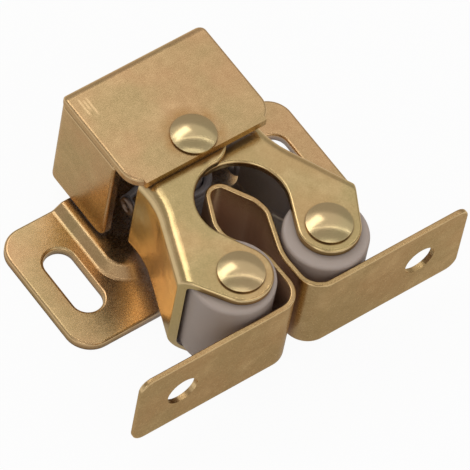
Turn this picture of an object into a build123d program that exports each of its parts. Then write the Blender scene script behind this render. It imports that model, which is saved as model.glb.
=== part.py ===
from build123d import *
import os
from math import acos, atan2, cos, hypot, radians, sin, tan

# Double roller catch in folded, plated sheet steel, with its strike engaged.
# Millimetres. +Z is up off the mounting face, +X runs along the two wings and -Y is the mouth,
# where the strike goes in. The origin is on the underside of the base, midway between the slots.

# Bracket: base, rear wall, top plate and two side flaps, all folded from one sheet
sheet_t = 1.2
bracket_h = 20.0
housing_w = 22.0
rear_y = 14.9
top_front_y = -2.0
top_corner_r = 3.2
top_rear_corner_r = 1.4
fold_r = 0.4
sheet_edge_r = 0.4
base_len = 45.0
wing_front_y = -9.8
wing_rear_y = 10.3
wing_corner_r = 3.6
slot_pitch = 34.2
slot_w = 4.2
slot_len = 10.4

# Raised platform under the arms, with sloped sides
platform_rise = 1.0
platform_half_w = 12.0
platform_front_y = -2.5
platform_corner_r = 3.0
platform_side_slope = 1.3
platform_front_slope = 1.8
platform_crease_r = 0.9

# Side flaps, slit free of the top plate and of the platform
flap_front_y = 2.6
flap_foot_gap = 0.4
flap_top_gap = 0.25
flap_low_corner_r = 1.5
flap_high_corner_r = 0.5

# Pivot rivet, through the top plate, both arms and the platform
pivot_y = 0.94
pivot_shank_r = 2.2
pivot_head_r = 3.03
pivot_head_h = 1.1
pivot_foot_r = 2.8
pivot_foot_h = 0.7

# Arms: two like channels on the pivot, one turned over, so that their flanges interleave.
# A reach is measured forwards from the pivot, before the pair is swung to one side
arm_t = 1.0
arm_fold_r = 0.8
arm_edge_r = 0.4
arm_top_gap = 0.1
arm_foot_gap = 0.25
flange_gap = 0.05
pair_swing = 2.4
boss_r = 4.4
eye_x = 7.2
eye_reach = 19.2
eye_r = 4.2
throat_r = 6.15
throat_to_eye = 8.75
web_x = 9.5
web_rear_reach = 1.2
web_bend_reach = 4.75
web_bend_r = 12.0
web_angle = 24.0
web_front_to_eye = 3.6

# Rollers, loose on their rivets and pushed aside by the strike
roller_r = 5.65
roller_edge_r = 0.5
roller_end_gap = 0.15
roller_bore_play = 0.95
roller_shank_r = 1.8
roller_head_r = 3.05
roller_head_h = 1.0
roller_foot_r = 2.7
roller_foot_h = 0.8
left_roller_push = (-0.62, 0.66)
right_roller_push = (-0.45, -0.25)

# Rivet forms and clearances
rivet_rim_h = 0.3
rivet_foot_taper = 0.82
running_fit = 0.05
riveted_fit = 0.02

# Torsion spring round the pivot; the eye of each leg bears on the rear edge of a web
wire_r = 0.5
wire_knuckle_r = 0.54
coil_r = 2.95
coil_turns = 5
coil_foot_gap = 0.15
coil_rise = 5.8
spring_eye_r = 0.95
spring_eye_x = 9.0
spring_eye_gap = 0.1

# Strike: one folded strip, with a spear-shaped tongue between two ears.
# A reach is measured from the ears' front face, and bend radii are to the middle of the strip
strip_t = 0.76
strike_above_arm = 0.45
strike_below_arm = 1.65
strike_x = 0.1
eye_to_strike = 6.47
ear_end_x = 25.65
ear_corner_r = 1.8
strip_edge_r = 0.25
ear_hole_x = 18.68
ear_hole_r = 2.3
ear_bend_r = 3.0
neck_x = 0.33
neck_half_w = 0.85
right_neck_reach = 6.9
right_flank_bend_r = 8.0
left_neck_reach = 8.5
left_flank_bend_r = 6.0
shoulder_half_w = 3.55
shoulder_reach = 13.2
cheek_half_w = 3.3
cheek_reach = 15.3
head_bend_r = 3.0
apex_reach = 21.8
apex_bend_r = 1.6
tongue_lean = 3.2
lean_reach = 3.4

# Worked out from the sizes above
housing_half_w = housing_w / 2
platform_top_z = sheet_t + platform_rise
flap_low_z = platform_top_z + flap_foot_gap
flap_high_z = bracket_h - sheet_t - flap_top_gap
right_arm_z = platform_top_z + arm_foot_gap
left_arm_z = right_arm_z + arm_t + flange_gap
arm_h = bracket_h - sheet_t - arm_top_gap - left_arm_z
throat_reach = eye_reach - throat_to_eye
web_front_reach = eye_reach - web_front_to_eye
coil_low_z = left_arm_z + arm_t + coil_foot_gap + wire_r
strike_z = right_arm_z + strike_above_arm
strike_h = arm_h - strike_above_arm - strike_below_arm
strike_front_y = pivot_y - eye_reach - eye_to_strike
arm_frame = Pos(0, pivot_y, 0) * Rot(0, 0, pair_swing)


def offset_corner(before, corner, after, distance):
    """A corner of a path moved to its left by distance, and which way the path turns there."""
    in_x, in_y = corner[0] - before[0], corner[1] - before[1]
    out_x, out_y = after[0] - corner[0], after[1] - corner[1]
    in_len, out_len = hypot(in_x, in_y), hypot(out_x, out_y)
    in_n = (-in_y / in_len, in_x / in_len)
    out_n = (-out_y / out_len, out_x / out_len)
    scale = distance / (1 + in_n[0] * out_n[0] + in_n[1] * out_n[1])
    point = (corner[0] + (in_n[0] + out_n[0]) * scale, corner[1] + (in_n[1] + out_n[1]) * scale)
    turn = 1 if in_x * out_y > in_y * out_x else -1
    return point, turn


def offset_end(end, neighbour, distance):
    """An end of a path moved to the left of the line from end to neighbour."""
    dx, dy = neighbour[0] - end[0], neighbour[1] - end[1]
    length = hypot(dx, dy)
    return (end[0] - dy / length * distance, end[1] + dx / length * distance)


def offset_path(points, radii, distance):
    """A filleted path moved to its left by distance, as its corner points and radii."""
    moved = [offset_end(points[0], points[1], distance)]
    new_radii = []
    for index, radius in enumerate(radii):
        point, turn = offset_corner(points[index], points[index + 1], points[index + 2], distance)
        moved.append(point)
        new_radii.append(radius - turn * distance)
    moved.append(offset_end(points[-1], points[-2], -distance))
    return moved, new_radii


def strip_section(points, radii, thickness):
    """The section of a folded strip, from its middle line and the middle radius of each bend."""
    left, left_radii = offset_path(points, radii, thickness / 2)
    right, right_radii = offset_path(points, radii, -thickness / 2)
    edge = FilletPolyline(*left, radius=left_radii) + FilletPolyline(*right, radius=right_radii)
    edge += Line(left[0], right[0]) + Line(left[-1], right[-1])
    return make_face(edge)


def tangent_point(outside, centre, radius, side):
    """Where a line from a point outside a circle touches it, on the side given by +1 or -1."""
    dx, dy = outside[0] - centre[0], outside[1] - centre[1]
    angle = atan2(dy, dx) + side * acos(radius / hypot(dx, dy))
    return (centre[0] + radius * cos(angle), centre[1] + radius * sin(angle))


def rivet(shank_r, low_z, high_z, head_r, head_h, foot_r, foot_h):
    """A rivet with a domed head above high_z and a clenched foot below low_z."""
    upward = (Align.CENTER, Align.CENTER, Align.MIN)
    dome_h = head_h - rivet_rim_h
    dome_r = (head_r ** 2 + dome_h ** 2) / (2 * dome_h)
    shank = Pos(0, 0, low_z) * Cylinder(shank_r, high_z - low_z, align=upward)
    head = Pos(0, 0, high_z) * Cylinder(head_r, head_h, align=upward)
    head &= Pos(0, 0, high_z + head_h - dome_r) * Sphere(dome_r)
    foot = Pos(0, 0, low_z - foot_h) * Cone(foot_r * rivet_foot_taper, foot_r, foot_h, align=upward)
    return shank + head + foot


def platform_outline(half_w, front_y, corner_r):
    """The platform's plan: round at the front corners, and run out past the rear of the wings."""
    past_rear_y = wing_rear_y + sheet_t
    outline = Pos(0, (front_y + past_rear_y) / 2) * Rectangle(2 * half_w, past_rear_y - front_y)
    return fillet(outline.vertices().group_by(Axis.Y)[0], corner_r)


def platform_form(low_z):
    """The sloped rise of the platform, from low_z up."""
    foot_half_w = platform_half_w + platform_side_slope
    foot_front_y = platform_front_y - platform_front_slope
    foot = platform_outline(foot_half_w, foot_front_y, platform_corner_r + platform_side_slope)
    top = platform_outline(platform_half_w, platform_front_y, platform_corner_r)
    return loft([Pos(0, 0, low_z) * foot, Pos(0, 0, low_z + platform_rise) * top])


def level_edges(base):
    """The edges in the plane of the wings' upper face."""
    return [edge for edge in base.edges() if abs((edge @ 0.5).Z - sheet_t) < running_fit]


def foot_creases(base):
    """The edges where the platform's slope rises from the flat of the wings."""
    foot_half_w = platform_half_w + platform_side_slope
    foot_front_y = platform_front_y - platform_front_slope
    inside = [edge for edge in level_edges(base) if abs((edge @ 0.5).X) < foot_half_w + running_fit]
    return [edge for edge in inside if foot_front_y - running_fit < (edge @ 0.5).Y < wing_rear_y]


def wing_rims(base):
    """The upper outer edges of the wings, before the slots are cut."""
    return [edge for edge in level_edges(base) if abs((edge @ 0.5).X) > slot_pitch / 2
            or (edge @ 0.5).Y < wing_front_y + running_fit]


def slot_rims(base):
    """The upper edges of the two slots."""
    beside = [edge for edge in level_edges(base) if abs((edge @ 0.5).Y) < slot_len / 2 + running_fit]
    return [edge for edge in beside if abs(abs((edge @ 0.5).X) - slot_pitch / 2) < slot_w / 2 + running_fit]


def make_base():
    """The two slotted wings and the platform raised between them."""
    wing_len_y = wing_rear_y - wing_front_y
    wings = Pos(0, wing_front_y + wing_len_y / 2) * Rectangle(base_len, wing_len_y)
    past_wings = Pos(0, wing_front_y + (wing_len_y + sheet_t) / 2) * Rectangle(base_len, wing_len_y + sheet_t)
    rise = platform_form(sheet_t)
    rise = fillet(rise.edges().group_by(Axis.Z)[-1].sort_by(Axis.Y)[:-1], platform_crease_r)
    base = extrude(past_wings, sheet_t) + rise - platform_form(0)
    base = fillet(foot_creases(base), platform_crease_r)
    base &= extrude(fillet(wings.vertices(), wing_corner_r), bracket_h)
    base = fillet(wing_rims(base), sheet_edge_r)
    slot = extrude(SlotOverall(slot_len, slot_w, rotation=90), bracket_h)
    base -= [Pos(slot_pitch / 2, 0, 0) * slot, Pos(-slot_pitch / 2, 0, 0) * slot]
    return fillet(slot_rims(base), sheet_edge_r)


def make_shell():
    """The neck, rear wall and top plate folded over, and the flaps folded round the sides."""
    bend = fold_r + sheet_t / 2
    wall_y = rear_y - sheet_t / 2
    low_z = platform_top_z - sheet_t / 2
    high_z = bracket_h - sheet_t / 2
    side = strip_section([(pivot_y, low_z), (wall_y, low_z), (wall_y, high_z), (top_front_y, high_z)],
                         [bend, bend], sheet_t)
    narrow = extrude(Plane.YZ * side, housing_half_w - fold_r - sheet_t, both=True)
    wide = extrude(Plane.YZ * side, housing_half_w, both=True)
    plan = Pos(0, (rear_y + top_front_y) / 2) * Rectangle(housing_w, rear_y - top_front_y)
    plan = fillet(plan.vertices().group_by(Axis.Y)[0], top_corner_r)
    plan = fillet(plan.vertices().group_by(Axis.Y)[-1], top_rear_corner_r)
    wide &= Pos(0, 0, bracket_h - sheet_t) * extrude(plan, sheet_t)
    wide = fillet([edge for edge in wide.edges() if (edge @ 0.5).Z > bracket_h - running_fit
                   and (edge @ 0.5).Y < wall_y - bend], sheet_edge_r)

    flap_x = housing_half_w - sheet_t / 2
    around = [(-flap_x, flap_front_y), (-flap_x, wall_y), (flap_x, wall_y), (flap_x, flap_front_y)]
    flaps = Pos(0, 0, flap_low_z) * extrude(strip_section(around, [bend, bend], sheet_t),
                                            flap_high_z - flap_low_z)
    fronts = flaps.edges().filter_by(Axis.X).group_by(Axis.Y)[0]
    flaps = fillet(fronts.group_by(Axis.Z)[0], flap_low_corner_r)
    fronts = flaps.edges().filter_by(Axis.X).group_by(Axis.Y)[0]
    flaps = fillet(fronts.group_by(Axis.Z)[-1], flap_high_corner_r)
    outer = [edge for edge in flaps.edges() if abs((edge @ 0.5).X) > housing_half_w - running_fit]
    flaps = fillet([edge for edge in outer if (edge @ 0.5).Y < wall_y - bend], sheet_edge_r)
    return narrow + wide + flaps


def make_bracket():
    bracket = make_base() + make_shell()
    return bracket - Pos(0, pivot_y, 0) * Cylinder(pivot_shank_r + riveted_fit, 3 * bracket_h)


def web_path():
    """The web's outer face in plan, on the +X arm, as corner points and bend radii."""
    front_x = web_x + (web_front_reach - web_bend_reach) * tan(radians(web_angle))
    points = [(web_x, -web_rear_reach), (web_x, -web_bend_reach), (front_x, -web_front_reach)]
    return points, [web_bend_r]


def flange_outline():
    """The arm seen from above: a boss, a round eye, and the open throat between them."""
    points, radii = web_path()
    eye = (eye_x, -eye_reach)
    throat = (0, -throat_reach)
    front_touch = tangent_point(points[-1], eye, eye_r, -1)
    span = hypot(eye[0] - throat[0], eye[1] - throat[1])
    cross = atan2(eye[1] - throat[1], eye[0] - throat[0]) + acos((throat_r + eye_r) / span)
    throat_touch = (throat[0] + throat_r * cos(cross), throat[1] + throat_r * sin(cross))
    eye_touch = (eye[0] - eye_r * cos(cross), eye[1] - eye_r * sin(cross))
    web_corner = (web_x - 2 * arm_t, -web_rear_reach)
    boss_touch = tangent_point(web_corner, (0, 0), boss_r, 1)
    edge = FilletPolyline(*points, radius=radii)
    edge += Polyline(points[-1], front_touch, eye, eye_touch, throat_touch, throat, (0, 0), boss_touch,
                     web_corner, points[0])
    plan = make_face(edge) + Pos(*eye) * Circle(eye_r) + Circle(boss_r)
    return plan - Pos(*throat) * Circle(throat_r)


def web_rims(solid):
    """The level edges that run along the web, at the top and bottom of a prism."""
    level = [edge for edge in solid.edges() if abs((edge @ 0).Z - (edge @ 1).Z) < flange_gap]
    outer = [edge for edge in level if (edge @ 0.5).X > web_x - 2 * arm_t]
    return [edge for edge in outer if -web_front_reach < (edge @ 0.5).Y < -web_rear_reach - flange_gap]


def flange_rims(solid):
    """The round level edges of the boss, the throat and the eye, at both ends of a prism."""
    level = [edge for edge in solid.edges() if abs((edge @ 0).Z - (edge @ 1).Z) < flange_gap]
    round_edges = [edge for edge in level if edge.geom_type == GeomType.CIRCLE]
    return [edge for edge in round_edges if (edge @ 0.5).X < web_x - 2 * arm_t]


def make_channel():
    """The +X arm before it is placed: a channel whose web follows its outer edge."""
    points, radii = web_path()
    inner, inner_radii = offset_path(points, radii, -arm_t)
    (x0, y0), (x1, y1), (x2, y2) = inner
    inner = [(x0, y0 + 2 * boss_r), (x1, y1), (2 * x2 - x1, 2 * y2 - y1)]
    open_x = -2 * boss_r
    hollow_edge = FilletPolyline(*inner, radius=inner_radii)
    hollow_edge += Polyline(inner[-1], (open_x, inner[-1][1]), (open_x, inner[0][1]), inner[0])
    hollow = Pos(0, 0, arm_t) * extrude(make_face(hollow_edge), arm_h - 2 * arm_t)
    level = [edge for edge in hollow.edges() if abs((edge @ 0).Z - (edge @ 1).Z) < flange_gap]
    hollow = fillet([edge for edge in level if (edge @ 0.5).X > web_x - 2 * arm_t], arm_fold_r)
    body = extrude(flange_outline(), arm_h)
    body = fillet(web_rims(body), arm_fold_r + arm_t)
    body = fillet(flange_rims(body), arm_edge_r)
    channel = body - hollow - Cylinder(pivot_shank_r + running_fit, 3 * arm_h)
    return channel - Pos(eye_x, -eye_reach, 0) * Cylinder(roller_shank_r + riveted_fit, 3 * arm_h)


def eye_place(side):
    """The roller rivet's axis in plan; side is +1 for right and -1 for left."""
    return (arm_frame * Pos(side * eye_x, -eye_reach, 0)).position


def make_roller(axis, push, arm_z):
    low_z = arm_z + arm_t + roller_end_gap
    height = arm_h - 2 * arm_t - 2 * roller_end_gap
    drum = Cylinder(roller_r, height, align=(Align.CENTER, Align.CENTER, Align.MIN))
    drum = fillet(drum.edges().filter_by(GeomType.CIRCLE), roller_edge_r)
    drum -= Cylinder(roller_shank_r + roller_bore_play, 3 * height)
    return Pos(axis.X + push[0], axis.Y + push[1], low_z) * drum


def spring_leg(start, side):
    """A straight leg out to one side, ending in a round eye behind the edge of the web."""
    edge = (arm_frame * Pos(side * spring_eye_x, -web_rear_reach, 0)).position
    centre_y = edge.Y + spring_eye_gap + spring_eye_r + wire_r
    end = Vector(side * spring_eye_x, centre_y + spring_eye_r, start.Z)
    eye = Pos(end.X, centre_y, end.Z) * Rot(0, 90, 0) * Torus(spring_eye_r, wire_r)
    knuckle = Rot(0, 90, 0) * Sphere(wire_knuckle_r)
    leg = eye + Pos(*end) * knuckle
    leg += extrude(Plane(start, z_dir=end - start) * Circle(wire_r), (end - start).length)
    return leg + Pos(*start) * knuckle


def make_spring():
    """Six coils whose ends leave at the rear, low to the right and high to the left."""
    turn = Helix(coil_rise / coil_turns, coil_rise, coil_r)
    coil = Pos(0, pivot_y, coil_low_z) * Rot(0, 0, 90) * turn
    spring = sweep(Plane(coil @ 0, z_dir=coil % 0) * Circle(wire_r), coil, is_frenet=True)
    return spring + spring_leg(coil @ 0, 1) + spring_leg(coil @ 1, -1)


def lean_point(x, reach):
    """A point of the tongue, leaned from the root of the neck."""
    turn = radians(tongue_lean)
    along = reach - lean_reach
    return (neck_x + x * cos(turn) - along * sin(turn),
            strike_front_y + lean_reach + along * cos(turn) + x * sin(turn))


def make_strike():
    ear_y = strike_front_y + strip_t / 2
    right_flank = [lean_point(neck_half_w, right_neck_reach),
                   lean_point(shoulder_half_w, shoulder_reach), lean_point(cheek_half_w, cheek_reach)]
    left_flank = [lean_point(-cheek_half_w, cheek_reach),
                  lean_point(-shoulder_half_w, shoulder_reach), lean_point(-neck_half_w, left_neck_reach)]
    points = [(strike_x + ear_end_x, ear_y), (neck_x + neck_half_w, ear_y), *right_flank,
              lean_point(0, apex_reach), *left_flank, (neck_x - neck_half_w, ear_y),
              (strike_x - ear_end_x, ear_y)]
    radii = [ear_bend_r, right_flank_bend_r, head_bend_r, head_bend_r, apex_bend_r,
             head_bend_r, head_bend_r, left_flank_bend_r, ear_bend_r]
    strip = Pos(0, 0, strike_z) * extrude(strip_section(points, radii, strip_t), strike_h)
    strip = fillet(strip.edges().filter_by(Axis.Y), ear_corner_r)
    hole = Rot(90, 0, 0) * Cylinder(ear_hole_r, 4 * strip_t)
    rims = [edge for edge in strip.edges() if (edge @ 0.5).Z > strike_z + strike_h - running_fit]
    strip = fillet(rims, strip_edge_r)
    for x in (strike_x - ear_hole_x, strike_x + ear_hole_x):
        strip -= Pos(x, ear_y, strike_z + strike_h / 2) * hole
    return strip


def make_parts():
    channel = make_channel()
    platform_low_z = platform_top_z - sheet_t
    parts = {
        "housing_bracket": make_bracket(),
        "pivot_rivet": Pos(0, pivot_y, 0) * rivet(pivot_shank_r, platform_low_z, bracket_h, pivot_head_r,
                                                  pivot_head_h, pivot_foot_r, pivot_foot_h),
        "torsion_spring": make_spring(),
        "left_arm": arm_frame * (Pos(0, 0, left_arm_z) * mirror(channel, Plane.YZ)),
        "right_arm": arm_frame * (Pos(0, 0, right_arm_z) * channel),
        "strike": make_strike(),
    }
    sides = (("left", -1, left_roller_push, left_arm_z), ("right", 1, right_roller_push, right_arm_z))
    for name, side, push, arm_z in sides:
        axis = eye_place(side)
        pin = rivet(roller_shank_r, arm_z, arm_z + arm_h, roller_head_r, roller_head_h, roller_foot_r,
                    roller_foot_h)
        parts[name + "_roller_rivet"] = Pos(axis.X, axis.Y, 0) * pin
        parts[name + "_roller"] = make_roller(axis, push, arm_z)
    return parts


os.makedirs("parts", exist_ok=True)
for node, solid in make_parts().items():
    export_step(solid, "parts/" + node + ".step")
    box = solid.bounding_box()
    print(node, "volume", round(solid.volume, 1), "from", box.min, "to", box.max)
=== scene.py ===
# %% [markdown]
# # A double roller catch
# A double roller catch holds a cupboard door shut. Two sprung arms carry plastic rollers that
# close behind the head of a folded strike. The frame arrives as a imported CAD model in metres,
# and every shape in it is already right, so this lesson is about finishes, light and a camera
# that stands where the photographer stood.

# %% Load the frame
import bpy
import math
from mathutils import Matrix, Quaternion, Vector


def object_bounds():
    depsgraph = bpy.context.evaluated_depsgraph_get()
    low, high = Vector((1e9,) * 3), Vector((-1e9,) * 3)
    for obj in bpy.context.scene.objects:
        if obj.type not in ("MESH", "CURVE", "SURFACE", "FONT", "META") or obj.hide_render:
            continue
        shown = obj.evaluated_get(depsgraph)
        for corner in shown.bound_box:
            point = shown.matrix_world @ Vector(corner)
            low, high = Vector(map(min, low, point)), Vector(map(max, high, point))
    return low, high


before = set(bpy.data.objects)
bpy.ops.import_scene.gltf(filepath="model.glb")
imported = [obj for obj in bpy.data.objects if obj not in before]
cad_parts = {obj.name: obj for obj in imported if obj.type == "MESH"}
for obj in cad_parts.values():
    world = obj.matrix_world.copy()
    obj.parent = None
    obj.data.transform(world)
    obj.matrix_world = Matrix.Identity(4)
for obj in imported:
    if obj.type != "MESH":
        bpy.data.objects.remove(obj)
MM = 0.001
frame_low, frame_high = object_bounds()

# %% [markdown]
# ## Writing materials as arithmetic
# A shader is a graph of small sums. Drawing it node by node hides the idea, so one class wraps
# a node's output and lets Python's own operators add the Math nodes. Everything else goes
# through one method that takes a node's type, its settings and what its sockets are given.

# %% A socket that can be added and multiplied
class Signal:
    """An output of a shader node, with arithmetic."""

    def __init__(self, tree, socket):
        self.tree = tree
        self.socket = socket

    def node(self, kind, output=0, settings=None, **inputs):
        return add_node(self.tree, kind, output, settings, **inputs)

    def math(self, operation, *values):
        inputs = {"in%d" % index: value for index, value in enumerate(values)}
        return self.node("ShaderNodeMath", 0, {"operation": operation}, **inputs)

    def __add__(self, other):
        return self.math("ADD", self, other)

    def __radd__(self, other):
        return self.math("ADD", other, self)

    def __sub__(self, other):
        return self.math("SUBTRACT", self, other)

    def __rsub__(self, other):
        return self.math("SUBTRACT", other, self)

    def __mul__(self, other):
        return self.math("MULTIPLY", self, other)

    def __rmul__(self, other):
        return self.math("MULTIPLY", other, self)

    def __abs__(self):
        return self.math("ABSOLUTE", self)

    def clamp(self):
        return self.node("ShaderNodeClamp", 0, None, Value=self)


def give(tree, target, value):
    """A link where the value is a signal, and a constant on the socket where it isn't."""
    if isinstance(value, Signal):
        tree.links.new(value.socket, target)
    else:
        target.default_value = value


def add_node(tree, kind, output=0, settings=None, **inputs):
    """A new node: its settings first, then its sockets by name, or by position as in0, in1."""
    made = tree.nodes.new(kind)
    for name, value in (settings or {}).items():
        setattr(made, name, value)
    for name, value in inputs.items():
        by_place = name.startswith("in") and name[2:].isdigit()
        target = made.inputs[int(name[2:])] if by_place else made.inputs[name.replace("_", " ")]
        give(tree, target, value)
    return Signal(tree, made.outputs[output])


print("socket arithmetic is ready")

# %% [markdown]
# ## Colours, and an empty material to start from
# A Math node would turn a colour grey, so two colours meet in a Mix node, and a mask says how
# much of the second one shows. Every material starts with an empty tree. Its patterns read
# Object coordinates, so they stay where they are on a piece that moves.

# %% Colours and materials
# where a Mix node that mixes colours keeps its sockets
MIX_MASK, MIX_LOW, MIX_HIGH, MIX_RESULT = 0, 6, 7, 2


def rgb(red, green, blue):
    return (red, green, blue, 1.0)


def blend_colours(mask, low, high):
    """The low colour where the mask is 0 and the high one where it is 1."""
    mix = mask.tree.nodes.new("ShaderNodeMix")
    mix.data_type = "RGBA"
    give(mask.tree, mix.inputs[MIX_MASK], mask)
    give(mask.tree, mix.inputs[MIX_LOW], low)
    give(mask.tree, mix.inputs[MIX_HIGH], high)
    return Signal(mask.tree, mix.outputs[MIX_RESULT])


def empty_material(name):
    """A material whose tree holds only its output, as (material, output node)."""
    material = bpy.data.materials.new(name)
    material.use_nodes = True
    material.node_tree.nodes.clear()
    return material, material.node_tree.nodes.new("ShaderNodeOutputMaterial")


def new_material(name):
    """A material with a Principled shader, as (material, shader node, position)."""
    material, out = empty_material(name)
    tree = material.node_tree
    shader = tree.nodes.new("ShaderNodeBsdfPrincipled")
    tree.links.new(shader.outputs["BSDF"], out.inputs["Surface"])
    return material, shader, add_node(tree, "ShaderNodeTexCoord", "Object")


print("materials start empty, with Object coordinates")

# %% [markdown]
# ## Where plating wears and where shade is painted in
# The press leaves rounded edges, and hands rub them bright. On this catch they are the faces
# that look neither straight up nor sideways, so the height of the object normal finds them.
# Corners and hollows see little of the sky, and ambient occlusion finds those: with a short
# reach for the painted shade in a corner, and with a long one for the painted shade inside.

# %% Masks from the shape
EDGE_STARTS_UP = (0.10, 0.40)
EDGE_ENDS_UP = (0.62, 0.80)
SKY_SAMPLES = 8


def smooth_step(value, low, high):
    """0 below low and 1 above high, with a soft ramp between."""
    return value.node("ShaderNodeMapRange", 0, {"interpolation_type": "SMOOTHSTEP"}, Value=value,
                      From_Min=low, From_Max=high)


def rubbed_edges(tree):
    """1 on the rounded edges between level and upright faces."""
    normal = add_node(tree, "ShaderNodeTexCoord", "Normal")
    up = abs(normal.node("ShaderNodeSeparateXYZ", "Z", None, Vector=normal))
    return smooth_step(up, *EDGE_STARTS_UP) * (1 - smooth_step(up, *EDGE_ENDS_UP))


def shut_in(tree, reach, low, high):
    """1 where little of the sky is seen within reach, and 0 in the open."""
    seen = add_node(tree, "ShaderNodeAmbientOcclusion", "AO", {"samples": SKY_SAMPLES},
                    Distance=reach)
    return 1 - smooth_step(seen, low, high)


print("masks: rubbed edges, corners and hollows")

# %% [markdown]
# ## The grain of tumbled plating
# The sheet is steel with a thin brass plating over a tumbled surface: a metal whose gloss
# breaks up into a very fine grain. A painted picture of grain would slide over the folds.
# Noise on Object coordinates gives the same grain to every face, and slower noises make the
# scuffs, the worn patches, and the rosy and greenish tints that a yellow passivation leaves.
# The slowest one also bends the surface a little, because pressed sheet is never quite flat.

# %% Noises and bumps
# each noise: repeats per metre, octaves, and how strong the finer octaves are
FINE_GRAIN = (5200.0, 2.0, 0.6)
SCUFFS = (900.0, 4.0, 0.7)
WORN_PATCHES = (260.0, 3.0, 0.55)
SLOW_TINT = (110.0, 2.0, 0.5)
NOISE_MIDDLE = 0.5
RIPPLE_STRENGTH = 1.0
GRAIN_STRENGTH = 0.25
GRAIN_DEPTH = 0.012 * MM
FLAT_SHEET_RIPPLE_MM = 0.04


def noise(place, per_metre, octaves, finer_share):
    return place.node("ShaderNodeTexNoise", 0, None, Vector=place, Scale=per_metre,
                      Detail=octaves, Roughness=finer_share)


def pressed_normal(tree, fine, tint, wave):
    """Slow ripples of the pressed sheet with the fine grain on top."""
    ripple = add_node(tree, "ShaderNodeBump", 0, None, Strength=RIPPLE_STRENGTH,
                      Distance=wave * MM, Height=tint)
    return add_node(tree, "ShaderNodeBump", 0, None, Strength=GRAIN_STRENGTH,
                    Distance=GRAIN_DEPTH, Height=fine, Normal=ripple)


print("finest grain: one speck in", round(1 / (FINE_GRAIN[0] * MM), 2), "mm")

# %% [markdown]
# ## Worn from brass to pale brass
# The edges, the scuffs and some patches are polished paler than the rest. One number from
# 0 to 1 says how far, and it mixes the body colour with the worn one.

# %% How far the plating is polished
EDGE_RUB = 0.45
SCUFFED_EDGE_RUB = 0.7
SCUFF_SPECKLE = 0.6
PATCH_RAMP = (0.45, 0.80)
PATCH_POLISH = 0.25
PLAIN_POLISH = 0.2


def rubbed_and_polished(tree, fine, scuff, patch, grain):
    """The share that edges are rubbed, and the share that the whole surface is polished."""
    rubbed = (rubbed_edges(tree) * (EDGE_RUB + scuff * SCUFFED_EDGE_RUB)).clamp()
    speckle = (fine - NOISE_MIDDLE) * grain + (scuff - NOISE_MIDDLE) * (SCUFF_SPECKLE * grain)
    patches = smooth_step(patch, *PATCH_RAMP) * PATCH_POLISH
    return rubbed, (rubbed + patches + speckle + PLAIN_POLISH).clamp()


print("polish runs from", PLAIN_POLISH, "on plain faces to 1 on edges")

# %% [markdown]
# ## The plating itself
# The plating is one recipe with a few choices for each kind of piece. Painted shade darkens the
# corners. The hollows, where the metal hardly shows, get a painted shade tone and a duller gloss,
# and there the surface turns from metal to a plain one. At a glancing angle a metal's mirror goes
# towards white, but brass stays warm, so Specular Tint, which is a metal's colour at that angle, is
# a pale brass.

# %% Plating
# painted shade: hollows found by long-reach occlusion take a flat shade tone and lose their metal
HOLLOW_DEPTH = 15.0 * MM
HOLLOW_RAMP = (0.05, 0.42)
HOLLOW_SHADE_SHARE = 0.90
HOLLOW_METAL_LOSS = 0.85
# painted shade: corners found by short-reach occlusion are darkened towards a dark brown
CORNER_DEPTH = 1.4 * MM
CORNER_RAMP = (0.45, 0.92)
CORNER_SHADE_SHARE = 0.85
TINT_RAMP = (0.36, 0.64)
STAIN_PATCHES = (0.35, 0.70)
SCUFF_DULLS = 0.10
GRAIN_DULLS = 0.12
HOLLOW_DULLS = 0.25
RUBBING_SHINES = 0.06
# the painted shade tones of the hollows, cool on the bracket and arms, red on the strike
COOL_HOLLOW_SHADE = rgb(0.60, 0.57, 0.60)
RED_HOLLOW_SHADE = rgb(0.46, 0.27, 0.18)
CORNER_PAINTED_SHADE = rgb(0.15, 0.085, 0.04)
STAIN = rgb(0.40, 0.22, 0.08)
BRASS_AT_A_GLANCE = rgb(0.95, 0.83, 0.66)


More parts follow.
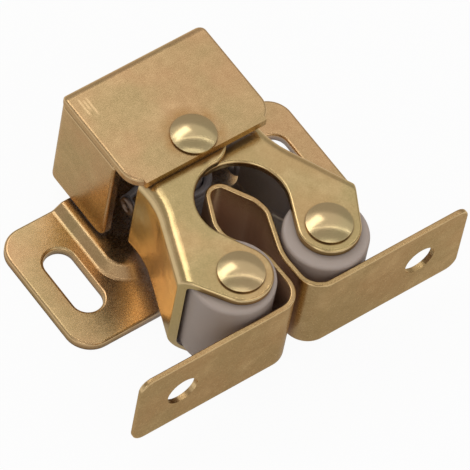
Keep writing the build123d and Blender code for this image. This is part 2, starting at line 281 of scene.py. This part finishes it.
def plated(name, rosy, green, worn, roughness, grain, wave=FLAT_SHEET_RIPPLE_MM, marks=None,
           stain=None, hollow_shade=COOL_HOLLOW_SHADE):
    """Plating between a rosy and a greenish tint, worn paler on its edges, with painted shade in its
    corners and hollows; wave is in mm.
    """
    material, shader, position = new_material(name)
    tree = material.node_tree
    fine, scuff, patch, tint = (noise(position, *kind)
                                for kind in (FINE_GRAIN, SCUFFS, WORN_PATCHES, SLOW_TINT))
    body = blend_colours(smooth_step(tint, *TINT_RAMP), rgb(*rosy), rgb(*green))
    rubbed, polished = rubbed_and_polished(tree, fine, scuff, patch, grain)
    if marks is not None:
        polished = (polished + marks(position)).clamp()
    colour = blend_colours(polished, body, rgb(*worn))
    if stain is not None:
        patchy = stain(position) * smooth_step(patch, *STAIN_PATCHES)
        colour = blend_colours(patchy, colour, STAIN)
    # painted shade darkens the corners that the short occlusion finds
    corner = shut_in(tree, CORNER_DEPTH, *CORNER_RAMP)
    colour = blend_colours(corner * CORNER_SHADE_SHARE, colour, CORNER_PAINTED_SHADE)
    # painted shade tone in the hollows, which also turns them from metal to plain and duller
    hollow = shut_in(tree, HOLLOW_DEPTH, *HOLLOW_RAMP)
    colour = blend_colours(hollow * HOLLOW_SHADE_SHARE, colour, hollow_shade)
    uneven = (scuff - NOISE_MIDDLE) * SCUFF_DULLS + (fine - NOISE_MIDDLE) * GRAIN_DULLS
    gloss = roughness + uneven + hollow * HOLLOW_DULLS - rubbed * RUBBING_SHINES
    give(tree, shader.inputs["Base Color"], colour)
    give(tree, shader.inputs["Metallic"], 1 - hollow * HOLLOW_METAL_LOSS)
    give(tree, shader.inputs["Specular Tint"], BRASS_AT_A_GLANCE)
    give(tree, shader.inputs["Roughness"], gloss)
    give(tree, shader.inputs["Normal"], pressed_normal(tree, fine, tint, wave))
    print("finish:", name)
    return material


# %% [markdown]
# ## Marks on the top plate
# Three short bright streaks near the rear left corner of the top plate come from the press.
# They are painted by place: a soft band in X and a soft length in Y, on the side that looks up.

# %% The press marks
# each streak: its place in X, and its start and end in Y
STREAKS_MM = ((-9.5, 10.2, 13.0), (-9.0, 10.9, 12.4), (-8.5, 9.9, 12.6))
STREAK_HALF_W_MM = 0.11
STREAK_SOFT_SIDES = (0.3, 2.2)
STREAK_FADE_MM = 0.4
STREAK_POLISH = 0.8
TOP_PLATE_MM = 18.8
TOP_PLATE_FADE_MM = 0.4


def axes(position):
    return [position.node("ShaderNodeSeparateXYZ", axis, None, Vector=position) for axis in "XYZ"]


def on_top_plate(z):
    return smooth_step(z, TOP_PLATE_MM * MM, (TOP_PLATE_MM + TOP_PLATE_FADE_MM) * MM)


def press_marks(position):
    """How much brighter the short streaks of the top plate are."""
    x, y, z = axes(position)
    near, far = (share * STREAK_HALF_W_MM * MM for share in STREAK_SOFT_SIDES)
    streaks = []
    for centre, low, high in STREAKS_MM:
        across = 1 - smooth_step(abs(x - centre * MM), near, far)
        begun = smooth_step(y, (low - STREAK_FADE_MM) * MM, (low + STREAK_FADE_MM) * MM)
        ended = smooth_step(y, (high - STREAK_FADE_MM) * MM, (high + STREAK_FADE_MM) * MM)
        streaks.append(across * (begun - ended))
    return sum(streaks) * on_top_plate(z) * STREAK_POLISH


print("press marks:", len(STREAKS_MM))

# %% [markdown]
# ## A stain round the pivot's head
# Riveting cracks the plating round the head, and a warm brown stain creeps out from there. It
# is strongest at the head's rim, fades over two millimetres, and comes and goes in patches.

# %% The pivot's stain
PIVOT_Y_MM = 0.94
PIVOT_HEAD_R_MM = 3.03
STAIN_REACH_MM = 2.0


def pivot_stain(position):
    """1 at the pivot's head on the top plate and 0 a little way out."""
    x, y, z = axes(position)
    along = y - PIVOT_Y_MM * MM
    square = x * x + along * along
    radius = square.math("SQRT", square)
    stain_end_mm = PIVOT_HEAD_R_MM + STAIN_REACH_MM
    near = 1 - smooth_step(radius, PIVOT_HEAD_R_MM * MM, stain_end_mm * MM)
    return near * on_top_plate(z)


print("stain reaches", PIVOT_HEAD_R_MM + STAIN_REACH_MM, "mm from the pivot")

# %% [markdown]
# ## One plating for each kind of piece
# The bracket is the rosiest and has the strongest grain. The arms are greener and ripple most.
# The rivets are paler and the glossiest, and the strike is a little browner. The spring is bare
# steel wire, almost black: partly the oiled steel's own tone and partly painted shade of the inside,
# which the same recipe gives with dark colours.

# %% Platings
bracket_plating = plated("bracket plating", rosy=(0.50, 0.302, 0.150), green=(0.42, 0.302, 0.142),
                         worn=(0.76, 0.53, 0.28), roughness=0.27, grain=0.95,
                         marks=press_marks, stain=pivot_stain)
arm_plating = plated("arm plating", rosy=(0.48, 0.312, 0.138), green=(0.40, 0.308, 0.134),
                     worn=(0.80, 0.60, 0.32), roughness=0.23, grain=0.50, wave=0.32)
rivet_plating = plated("rivet plating", rosy=(0.52, 0.385, 0.205), green=(0.47, 0.380, 0.195),
                       worn=(0.68, 0.525, 0.30), roughness=0.19, grain=0.3)
strike_plating = plated("strike plating", rosy=(0.385, 0.228, 0.096), green=(0.34, 0.228, 0.096),
                        worn=(0.82, 0.59, 0.31), roughness=0.25, grain=0.6, wave=0.14,
                        hollow_shade=RED_HOLLOW_SHADE)
# painted shade: the near-black wire is partly the oiled steel's own tone and partly the inside's
# shade painted on
spring_wire_and_shade = plated("spring wire", rosy=(0.06, 0.045, 0.04), green=(0.075, 0.052, 0.045),
                       worn=(0.18, 0.13, 0.10), roughness=0.34, grain=0.3)

# %% [markdown]
# ## Roller plastic
# The rollers are moulded in an unfilled, slightly see-through plastic, which shows as a soft
# grey-brown with light under its skin. A little subsurface scattering does that at any angle,
# where a plain grey would look like painted metal.

# %% The roller plastic
CLOUDS_PER_M = 180.0
CLOUD_OCTAVES = 2.0
DARK_PLASTIC = rgb(0.36, 0.295, 0.26)
PALE_PLASTIC = rgb(0.44, 0.365, 0.32)
PLASTIC_ROUGHNESS = 0.42
CLOUD_DULLS = 0.1
LIGHT_UNDER_SKIN = 0.25
LIGHT_REACH = 0.8 * MM
REACH_BY_COLOUR = (1.0, 0.8, 0.7)


def roller_plastic(name):
    material, shader, position = new_material(name)
    tree = material.node_tree
    cloud = add_node(tree, "ShaderNodeTexNoise", 0, None, Vector=position, Scale=CLOUDS_PER_M,
                     Detail=CLOUD_OCTAVES)
    roughness = PLASTIC_ROUGHNESS + (cloud - NOISE_MIDDLE) * CLOUD_DULLS
    give(tree, shader.inputs["Base Color"], blend_colours(cloud, DARK_PLASTIC, PALE_PLASTIC))
    give(tree, shader.inputs["Roughness"], roughness)
    give(tree, shader.inputs["Subsurface Weight"], LIGHT_UNDER_SKIN)
    give(tree, shader.inputs["Subsurface Radius"], REACH_BY_COLOUR)
    give(tree, shader.inputs["Subsurface Scale"], LIGHT_REACH)
    print("finish:", name)
    return material


roller_finish = roller_plastic("roller plastic")

# %% [markdown]
# ## Finishing the frame's pieces
# Each piece keeps its CAD mesh, whose edges are already rounded as pressing rounds them, so only
# the material changes. A second material on a piece would need its faces picked out, and the
# masks above do that by place instead.

# %% Give each piece its finish
FINISHES = {
    "housing_bracket": bracket_plating,
    "pivot_rivet": rivet_plating,
    "torsion_spring": spring_wire_and_shade,
    "left_arm": arm_plating,
    "right_arm": arm_plating,
    "left_roller_rivet": rivet_plating,
    "right_roller_rivet": rivet_plating,
    "left_roller": roller_finish,
    "right_roller": roller_finish,
    "strike": strike_plating,
}
for name, finish in FINISHES.items():
    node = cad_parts[name]
    node.data.materials.clear()
    node.data.materials.append(finish)
    print(name, "wears", finish.name, "with", len(node.data.polygons), "faces")

# %% [markdown]
# ## The floor
# The catch lies on a white sweep and is cut out on plain white. The paper itself is a pale
# grey that takes the shadow, and most of what the camera sees of it is a white glow. Metal
# sees some of that glow too, so that its reflections show the same background.

# %% Floor
FLOOR_SIZE_M = 6.0
FLOOR_GAP = 0.02 * MM
PAPER = rgb(0.68, 0.68, 0.68)
WHITE = rgb(1.0, 1.0, 1.0)
SEEN_GLOW = 0.95
MIRRORED_GLOW = 0.30


def white_sweep():
    """A wide floor just under the catch."""
    place = (0, 0, frame_low.z - FLOOR_GAP)
    bpy.ops.mesh.primitive_plane_add(size=FLOOR_SIZE_M, location=place)
    floor = bpy.context.object
    floor.name = "floor"
    material, out = empty_material("sweep")
    tree = material.node_tree
    paper = add_node(tree, "ShaderNodeBsdfDiffuse", 0, None, Color=PAPER)
    glow = add_node(tree, "ShaderNodeEmission", 0, None, Color=WHITE, Strength=1.0)
    seen = add_node(tree, "ShaderNodeLightPath", "Is Camera Ray")
    mirrored = add_node(tree, "ShaderNodeLightPath", "Is Glossy Ray")
    through = add_node(tree, "ShaderNodeLightPath", "Is Transmission Ray")
    share = seen * SEEN_GLOW + (mirrored + through) * MIRRORED_GLOW
    mix = add_node(tree, "ShaderNodeMixShader", 0, None, in0=share, in1=paper, in2=glow)
    tree.links.new(mix.socket, out.inputs["Surface"])
    floor.data.materials.append(material)
    return floor


floor = white_sweep()
print("floor at", round(floor.location.z / MM, 3), "mm")

# %% [markdown]
# ## The lamps
# A metal shows what stands round it, so each lamp is placed by what it is mirrored in. The
# wide window is what the level faces show. The thin tube and the bar at the front draw the two
# bright bands on the rivets' heads, and both are turned so that the bands lie level in the
# picture. The lamp at the rear left lights the left wing, which glows orange in the side of the
# left arm. A strip at the left brightens the fold of that arm, and the last two lamps fill the
# rollers and the inside.

# %% Lamps
LAMP_AIM_MM = (0, -6, 8)
# each lamp: its place, its width and height, its watts, and its turn about its own axis
LAMPS = {
    "window": ((156, 152, 335), (760, 240), 0.20, 0.0),
    "tube": ((83, 60, 390), (760, 14), 0.11, 20.0),
    "front_top": ((-80, -78, 385), (500, 36), 0.08, 11.0),
    "rear_left": ((-10, 222, 318), (250, 120), 0.20, 0.0),
    "left_strip": ((-110, 150, 330), (200, 50), 0.012, 0.0),
    "front_left": ((-250, -150, 220), (150, 150), 0.08, 0.0),
    "front": ((60, -240, 230), (300, 150), 0.13, 0.0),
}


def soft_lamp(name, place_mm, size_mm, power, turn_deg):
    """An area lamp that looks at the catch."""
    data = bpy.data.lights.new(name, "AREA")
    data.shape = "RECTANGLE"
    data.size, data.size_y = size_mm[0] * MM, size_mm[1] * MM
    data.energy = power
    lamp = bpy.data.objects.new(name, data)
    lamp.location = Vector(place_mm) * MM
    aim = (Vector(LAMP_AIM_MM) * MM - lamp.location).normalized()
    lamp.rotation_mode = "QUATERNION"
    turn = Quaternion((0, 0, 1), math.radians(turn_deg))
    lamp.rotation_quaternion = aim.to_track_quat("-Z", "Y") @ turn
    bpy.context.scene.collection.objects.link(lamp)
    print("lamp", name, power, "W")


for name, (place_mm, size_mm, power, turn_deg) in LAMPS.items():
    soft_lamp(name, place_mm, size_mm, power, turn_deg)

# %% [markdown]
# ## The room
# Behind the lamps is a plain, slightly warm room. The camera sees white in its place, as in a
# picture that was cut out.

# %% World
ROOM = rgb(1.0, 0.97, 0.93)
ROOM_STRENGTH = 0.52

world = bpy.data.worlds.new("studio")
world.use_nodes = True
bpy.context.scene.world = world
sky = world.node_tree
sky.nodes.clear()
sky_out = sky.nodes.new("ShaderNodeOutputWorld")
ray = add_node(sky, "ShaderNodeLightPath", "Is Camera Ray")
room = add_node(sky, "ShaderNodeBackground", 0, None, Color=ROOM, Strength=ROOM_STRENGTH)
white = add_node(sky, "ShaderNodeBackground", 0, None, Color=WHITE, Strength=1.0)
both = add_node(sky, "ShaderNodeMixShader", 0, None, in0=ray, in1=room, in2=white)
sky.links.new(both.socket, sky_out.inputs["Surface"])
print("room strength", ROOM_STRENGTH)

# %% [markdown]
# ## The camera
# A long lens far away keeps the catch almost free of perspective, as in the photograph. The
# camera is turned a little about its own axis, because the picture leans.

# %% Camera
PICTURE_PX = 470.0
SCALE_PX_PER_MM = 7.84
AZIMUTH_DEG = -45.68
ELEVATION_DEG = 55.87
ROLL_DEG = 11.9
LENS_MM = 460.0
SENSOR_MM = 36.0
CLIP_M = (0.01, 20.0)
LOOK_AT_MM = Vector((1.096, -8.83, 8.71))


def photo_camera():
    """The camera in the photographer's place, and its distance."""
    azimuth, elevation, roll = (math.radians(v) for v in (AZIMUTH_DEG, ELEVATION_DEG, ROLL_DEG))
    back = Vector((math.sin(azimuth) * math.cos(elevation), -math.cos(azimuth) * math.cos(elevation),
                   math.sin(elevation)))
    side = Vector((math.cos(azimuth), math.sin(azimuth), 0))
    level_up = back.cross(side)
    right = side * math.cos(roll) + level_up * math.sin(roll)
    up = back.cross(right)
    distance = LENS_MM / SENSOR_MM * PICTURE_PX / SCALE_PX_PER_MM * MM
    data = bpy.data.cameras.new("camera")
    data.lens = LENS_MM
    data.sensor_width = SENSOR_MM
    data.clip_start, data.clip_end = CLIP_M
    camera = bpy.data.objects.new("camera", data)
    bpy.context.scene.collection.objects.link(camera)
    turn = Matrix((right, up, back)).transposed().to_4x4()
    camera.matrix_world = Matrix.Translation(LOOK_AT_MM * MM + back * distance) @ turn
    bpy.context.scene.camera = camera
    return camera, distance


camera, distance = photo_camera()
bpy.context.scene.view_settings.view_transform = "Standard"
print(camera.name, "is", round(distance, 3), "m away")
